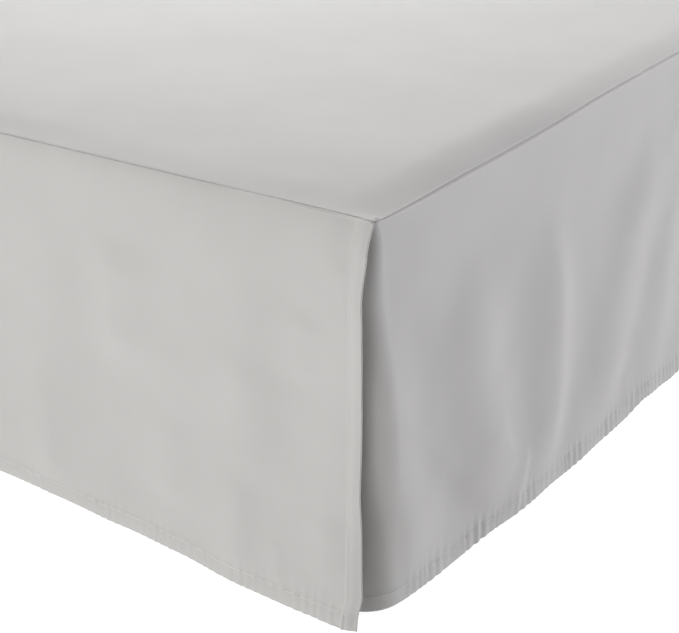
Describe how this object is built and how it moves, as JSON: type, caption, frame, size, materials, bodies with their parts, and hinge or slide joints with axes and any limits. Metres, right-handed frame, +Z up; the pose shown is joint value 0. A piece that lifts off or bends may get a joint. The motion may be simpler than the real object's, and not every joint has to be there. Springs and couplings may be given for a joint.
{
  "type": "bed skirt on a box spring",
  "caption": "Tailored bed skirt with split corners and a flat deck, lying on a box spring on a plain steel bed frame, open at the head.",
  "frame": {"origin": "on the floor, under the middle of the part's outline", "axes": "+Z up, +Y towards the head of the bed, -Y towards the foot, +X to the right seen from the foot"},
  "size_m": [1.6225, 2.052, 0.4265],
  "materials": {
    "skirt_cloth": "matte, fine woven microfibre",
    "box_ticking": "matte woven ticking",
    "frame_steel": "semi-gloss black paint"
  },
  "bodies": {
    "root": {"skirt_deck": "skirt_cloth", "skirt_foot_panel": "skirt_cloth", "skirt_side_right": "skirt_cloth", "skirt_side_left": "skirt_cloth", "box_spring": "box_ticking", "rail_right": "frame_steel", "rail_left": "frame_steel", "cross_bar_foot": "frame_steel", "cross_bar_middle": "frame_steel", "cross_bar_head": "frame_steel", "leg_foot_left": "frame_steel", "leg_foot_centre": "frame_steel", "leg_foot_right": "frame_steel", "leg_middle_left": "frame_steel", "leg_middle_centre": "frame_steel", "leg_middle_right": "frame_steel", "leg_head_left": "frame_steel", "leg_head_centre": "frame_steel", "leg_head_right": "frame_steel"}
  },
  "joints": []
}
